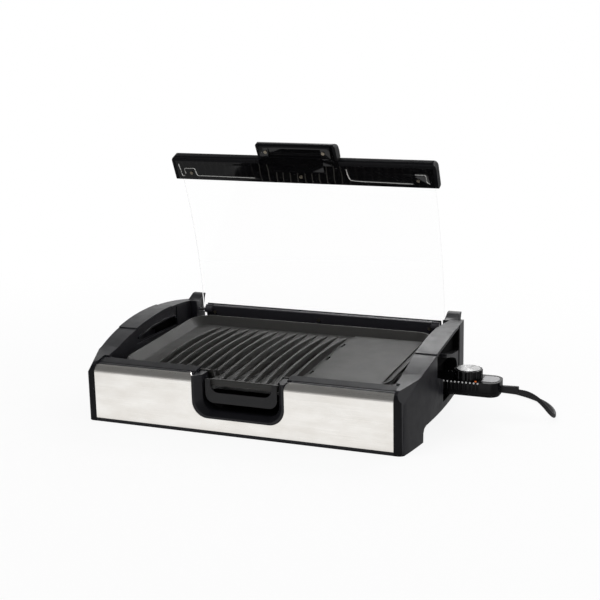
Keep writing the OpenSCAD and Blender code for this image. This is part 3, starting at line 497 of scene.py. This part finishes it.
# Edge rounding of each rigid node, in millimetres
EDGES = {
    "front_frame": 0.9, "left_side_panel": 1.0, "right_side_panel": 1.0, "left_grip_cap": 0.5,
    "right_grip_cap": 0.5, "left_hinge_cover": 0.9, "right_hinge_cover": 0.9,
    "rear_panel": 0.7, "base_pan": 0.6, "grill_plate": 0.9, "drip_tray": 0.5,
    "front_panel": 0.25, "lid_front_bar": 1.0, "lid_inner_plate": 0.4, "lid_handle": 0.8,
    "lid_handle_plate": 0.5, "hinge_bar": 0.8, "hinge_clamp": 0.6, "lid_glass": 0.5,
    "control_upper_shell": 0.8, "control_lower_shell": 0.8, "control_end_plate": 0.3,
    "control_knob": 0.4, "knob_cap": 0.3, "cord_plug": 0.8,
}
SAME_POINT = 1e-6               # metres
FLAT_WITHIN = 0.05              # degrees between faces that become one
SOFT_SHARP_FROM = 30            # degrees: edges over it stay sharp in the shading
BEVEL_FROM, BEVEL_SEGMENTS = 32, 2


def softened(node, width):
    """A copy of a CAD node with its sharp edges rounded; it stands for the node."""
    mesh = NODES[node].data.copy()
    mesh.name = node + "_soft"
    bm = bmesh.new()
    bm.from_mesh(mesh)
    bmesh.ops.remove_doubles(bm, verts=bm.verts, dist=SAME_POINT)
    bmesh.ops.dissolve_limit(bm, angle_limit=math.radians(FLAT_WITHIN), verts=bm.verts,
                             edges=bm.edges)
    bm.to_mesh(mesh)
    bm.free()
    smooth_by_angle(mesh, SOFT_SHARP_FROM)
    piece = add_object(node + "_soft", mesh)
    bevel = piece.modifiers.new("edges", "BEVEL")
    bevel.width = width * MM
    bevel.segments = BEVEL_SEGMENTS
    bevel.limit_method = "ANGLE"
    bevel.angle_limit = math.radians(BEVEL_FROM)
    bevel.harden_normals = True
    bevel.use_clamp_overlap = True
    paint(piece, SLOT_OF[node])
    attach(piece, BODY_OF[node])
    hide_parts(node)
    return piece


SOFT = {node: softened(node, width) for node, width in EDGES.items()}

# The hand holds and the control's recess in the side panels, which get painted shade, in millimetres
# from the middle
RECESS_X, RECESS_Y, RECESS_Z = (244.5, 270), (118, 268), (34, 127)
RAIL_TOP_Z, RAIL_TOP_NORMAL_Z = 117, 0.5
# The side panels' front faces, which get painted shade
FRONT_FACE_Y, FRONT_NORMAL_Y = 2, -0.8
FLANGE_NORMAL_Z = 0.93          # leaves the steel's bend bare


def in_recess(face):
    """Whether a side panel's face lies in its hand hold or in the control's recess."""
    x, y, z = abs(face.center.x) / MM, face.center.y / MM, face.center.z / MM
    on_rail = face.normal.z > RAIL_TOP_NORMAL_Z and z > RAIL_TOP_Z
    inside = all(low < at < high for at, (low, high) in
                 ((x, RECESS_X), (y, RECESS_Y), (z, RECESS_Z)))
    return inside and not on_rail


def paint_shade_on_side_panels():
    """Paints shade on the side panels: near black in the recesses, like a dark hole, and a darker black
    on the panels' front faces.
    """
    for node in ("left_side_panel", "right_side_panel"):
        mesh = SOFT[node].data
        mesh.materials.append(RECESS_SHADE)
        mesh.materials.append(SHADED_BLACK)
        for face in mesh.polygons:
            at_front = face.normal.y < FRONT_NORMAL_Y and face.center.y < FRONT_FACE_Y * MM
            face.material_index = 1 if in_recess(face) else 2 * int(at_front)


def paint_shade_on_flange():
    """Paints the steel panel's top face in the front frame's black: a painted shade."""
    mesh = SOFT["front_panel"].data
    mesh.materials.append(VARIANTS["front_frame"])
    for face in mesh.polygons:
        face.material_index = int(face.normal.z > FLANGE_NORMAL_Z)


for node, finish in VARIANTS.items():
    SOFT[node].data.materials[0] = finish
paint_shade_on_flange()
paint_shade_on_side_panels()


# ---------------------------------------------------------------- beads of the lid's inner plate

BEAD_R, BEAD_SIDES, BEAD_STEPS = 1.1, 10, 5
PLATE_UP = Vector((0, 0.9167, 0.3997))  # square to the plate
BEADS = {
    "bead_left_hook": [(-223.3, 252.6, 379.2), (-221.8, 257.2, 368.5), (-220.4, 261.7, 358.4),
                       (-215.7, 261.4, 359.1)],
    "bead_left_long": [(-213.5, 260.0, 362.2), (-213.1, 256.1, 371.2), (-204.2, 255.9, 371.5),
                       (-195.4, 255.8, 371.8), (-193.6, 258.6, 365.5), (-191.0, 261.3, 359.4),
                       (-180, 261.4, 359.2), (-132, 261.6, 358.8), (-84.6, 261.7, 358.5)],
    "bead_right_long": [(81.3, 252.6, 379.3), (82.6, 256.6, 370), (85.5, 260.1, 361.9),
                        (92, 261.1, 360.1), (105, 261.4, 359.3), (150, 261.6, 358.7),
                        (192.5, 261.8, 358.1)],
    "bead_right_hook": [(197.6, 255.0, 373.7), (206, 255.0, 373.6), (214.0, 255.2, 373.3),
                        (215.2, 257.6, 368), (215.9, 260.1, 362.0), (220.2, 261.4, 359.1)],
}


def round_section(radius, count):
    """Outline of a round tube."""
    return [(radius * math.cos(math.tau * k / count), radius * math.sin(math.tau * k / count))
            for k in range(count)]


for name, points in BEADS.items():
    bead = sweep(name, spline(points, BEAD_STEPS), round_section(BEAD_R * MM, BEAD_SIDES),
                 PLATE_UP)
    paint(bead, "probe_steel")
    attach(bead, "lid")


# ---------------------------------------------------------------- control

# The tips of the grip ribs on the control's two sides, which carry light studs as a painted highlight,
# in millimetres
GRIP_X0, GRIP_PITCH, GRIP_COUNT = 266, 6, 11
GRIP_Y, GRIP_Z, GRIP_HALF = 191, 66.6, 24.4
DOT_R, DOT_SIDES, DOT_BANDS = 1.5, 10, 6

# Along the strain relief: share of its length, half its width and half its height
RELIEF_STATIONS = [(0, 3.6, 5.2), (0.06, 3.9, 5.5), (0.9, 3.5, 6.3), (0.97, 3.4, 6.3),
                   (1, 3.0, 5.9)]
RELIEF_LIFT = 1.6               # millimetres above the middle of its solid
RELIEF_CORNER = 0.35
RELIEF_OUTLINE = [(1 - RELIEF_CORNER, 1), (1, 1 - RELIEF_CORNER / 2),
                  (1, RELIEF_CORNER / 2 - 1), (1 - RELIEF_CORNER, -1),
                  (RELIEF_CORNER - 1, -1), (-1, RELIEF_CORNER / 2 - 1),
                  (-1, 1 - RELIEF_CORNER / 2), (RELIEF_CORNER - 1, 1)]


def dot_points(center):
    """Rings of points of one small round stud."""
    points = []
    for i in range(1, DOT_BANDS):
        polar = math.pi * i / DOT_BANDS
        for k in range(DOT_SIDES):
            turn = math.tau * k / DOT_SIDES
            points.append(Vector(center) * MM + DOT_R * MM * Vector(
                (math.sin(polar) * math.cos(turn), math.sin(polar) * math.sin(turn),
                 math.cos(polar))))
    return points


def make_grip_highlights():
    """Light studs on the tips of the grip ribs: a painted highlight."""
    verts, faces = [], []
    for side in (-1, 1):
        for i in range(GRIP_COUNT):
            faces += tube_faces(DOT_BANDS - 1, DOT_SIDES, base=len(verts))
            verts += dot_points((GRIP_X0 + i * GRIP_PITCH, GRIP_Y + side * GRIP_HALF, GRIP_Z))
    dots = closed_piece("grip_painted_highlights", verts, faces)
    paint(dots, "end_plate_silver")
    # A light grey for the painted highlight
    dots.data.materials[0] = satin_plastic("painted_highlight_dots", (0.6, 0.6, 0.6), 0.4)
    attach(dots, "control")


def make_strain_relief():
    """Flat tapered block round the cord where it leaves the control."""
    low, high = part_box("strain_relief")
    y, z = (low[1] + high[1]) / 2, (low[2] + high[2]) / 2 + RELIEF_LIFT * MM
    verts = [Vector((low[0] + share * (high[0] - low[0]), y + a * half_y * MM,
                     z + b * half_z * MM))
             for share, half_y, half_z in RELIEF_STATIONS for a, b in RELIEF_OUTLINE]
    block = closed_piece("strain_relief_block", verts,
                         tube_faces(len(RELIEF_STATIONS), len(RELIEF_OUTLINE)))
    paint(block, "cord_black")
    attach(block, "control")
    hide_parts("strain_relief")


make_grip_highlights()
make_strain_relief()


# ---------------------------------------------------------------- the rest of the nodes

for node, piece in NODES.items():
    if node not in EDGES and not piece.hide_render:
        paint(piece, SLOT_OF[node])
paint(cord, "cord_black")


# ---------------------------------------------------------------- stage and light

FLOOR_CORNERS = [(-9, -9, 0), (9, -9, 0), (9, 12, 0), (-9, 12, 0)]
FLOOR_COLOR = (0.8, 0.8, 0.8, 1)
# How much of what the camera sees of the floor is plain white, near the object and far from it,
# in metres. The rest is the lit floor, with the object's shadow
WHITE_REACH, WHITE_SHARE = (0.5, 1.4), (0.88, 1.0)
# Glossy surfaces see white floor only before the grill, up to FRONT_EDGE, and to the right of a
# slanting line, which SLANT and SLANT_EDGE give, and grey floor elsewhere. The two borders lie
# where the photograph's view, mirrored in the lid's inner plate and the steel, meets the floor
FRONT_EDGE = (-0.025, -0.006)
SLANT, SLANT_EDGE = (1, -0.6, 0), (-0.34, -0.28)
GREY_FLOOR = 0.3

# Glossy surfaces see a room that is white low down and dark overhead. SKY_FRONT_BACK and
# SKY_LIFT let its white reach higher behind the object, and leave it half dark in front
SKY_FRONT_BACK, SKY_LIFT = (-0.3, 0.4), (-0.3, 0.3)
SKY_HEIGHT, SKY_GLOW = (0.0, 0.55), (1.0, 0.14)
FILL = 0.5                      # what lights the object from all round

# Each lamp's place, aim, size, power in watts, and whether glossy surfaces mirror it
LAMPS = {
    "key": ((-0.8, -1.0, 2.3), (0, 0.1, 0.1), (1.6, 1.2), 24, False),
    "right_fill": ((2.0, 0.3, 1.0), (0.1, 0.15, 0.1), (1.2, 1.2), 11, False),
    "back_light": ((0.3, 2.2, 1.7), (0, 0.2, 0.1), (2.4, 1.0), 26, True),
}


def seen_directly(tree, path):
    """1 for what the camera sees, also through the glass."""
    return calculate(tree, "MAXIMUM", path.outputs["Is Camera Ray"],
                     path.outputs["Is Transmission Ray"])


def make_floor():
    """A large white floor that keeps a faint shadow close to the object."""
    floor = add_object("floor", mesh_from("floor", FLOOR_CORNERS, [(0, 1, 2, 3)]))
    mat = bpy.data.materials.new("floor")
    mat.use_nodes = True
    tree = mat.node_tree
    tree.nodes.clear()
    point, along = place(tree)
    path = add_node(tree, "ShaderNodeLightPath")

    diffuse = add_node(tree, "ShaderNodeBsdfDiffuse", Color=FLOOR_COLOR)
    glow = add_node(tree, "ShaderNodeEmission", Color=WHITE, Strength=1.0)
    reach = add_node(tree, "ShaderNodeVectorMath", "LENGTH")
    tree.links.new(point, reach.inputs[0])
    white = map_range(tree, reach.outputs["Value"], WHITE_REACH, WHITE_SHARE, smooth=True)
    share = calculate(tree, "MULTIPLY", white, seen_directly(tree, path))
    surface = mix_shaders(tree, share, diffuse.outputs[0], glow.outputs[0])

    in_front = map_range(tree, along["Y"], FRONT_EDGE, (1.0, 0.0), smooth=True)
    slant = add_node(tree, "ShaderNodeVectorMath", "DOT_PRODUCT")
    slant.inputs[1].default_value = SLANT
    tree.links.new(point, slant.inputs[0])
    beside = map_range(tree, slant.outputs["Value"], SLANT_EDGE, (0.0, 1.0), smooth=True)
    zone = calculate(tree, "MULTIPLY", in_front, beside)
    mirrored = add_node(tree, "ShaderNodeEmission", Color=WHITE)
    tree.links.new(map_range(tree, zone, (0.0, 1.0), (GREY_FLOOR, 1.0)),
                   mirrored.inputs["Strength"])
    # A ray through clear glass counts as glossy too, so it is taken out
    reflected = calculate(tree, "SUBTRACT", path.outputs["Is Glossy Ray"],
                          path.outputs["Is Transmission Ray"], clamp=True)
    surface = mix_shaders(tree, reflected, surface, mirrored.outputs[0])

    output = add_node(tree, "ShaderNodeOutputMaterial")
    tree.links.new(surface, output.inputs["Surface"])
    floor.data.materials.append(mat)


def make_world():
    """White for the camera, an even fill for the object, and a studio for its reflections."""
    world = bpy.data.worlds.new("studio")
    bpy.context.scene.world = world
    world.use_nodes = True
    tree = world.node_tree
    tree.nodes.clear()
    _, along = place(tree, "Generated")
    lift = map_range(tree, along["Y"], SKY_FRONT_BACK, SKY_LIFT, smooth=True)
    height = calculate(tree, "SUBTRACT", along["Z"], lift)
    room = add_node(tree, "ShaderNodeBackground", Color=WHITE)
    tree.links.new(map_range(tree, height, SKY_HEIGHT, SKY_GLOW, smooth=True),
                   room.inputs["Strength"])
    fill = add_node(tree, "ShaderNodeBackground", Color=WHITE, Strength=FILL)
    white = add_node(tree, "ShaderNodeBackground", Color=WHITE, Strength=1.0)
    path = add_node(tree, "ShaderNodeLightPath")
    lit = mix_shaders(tree, path.outputs["Is Glossy Ray"], fill.outputs[0], room.outputs[0])
    surface = mix_shaders(tree, seen_directly(tree, path), lit, white.outputs[0])
    output = add_node(tree, "ShaderNodeOutputWorld")
    tree.links.new(surface, output.inputs["Surface"])


def make_lamp(name, at, aim, size, power, mirrored):
    """A soft lamp at one point, aimed at another, in metres."""
    data = bpy.data.lights.new(name, "AREA")
    data.shape = "RECTANGLE"
    data.size, data.size_y = size
    data.energy = power
    lamp = add_object(name, data)
    lamp.location = at
    lamp.rotation_mode = "QUATERNION"
    lamp.rotation_quaternion = (Vector(aim) - Vector(at)).to_track_quat("-Z", "Y")
    lamp.visible_glossy = mirrored


make_floor()
make_world()
for name, facts in LAMPS.items():
    make_lamp(name, *facts)

bpy.context.scene.view_settings.view_transform = "Standard"
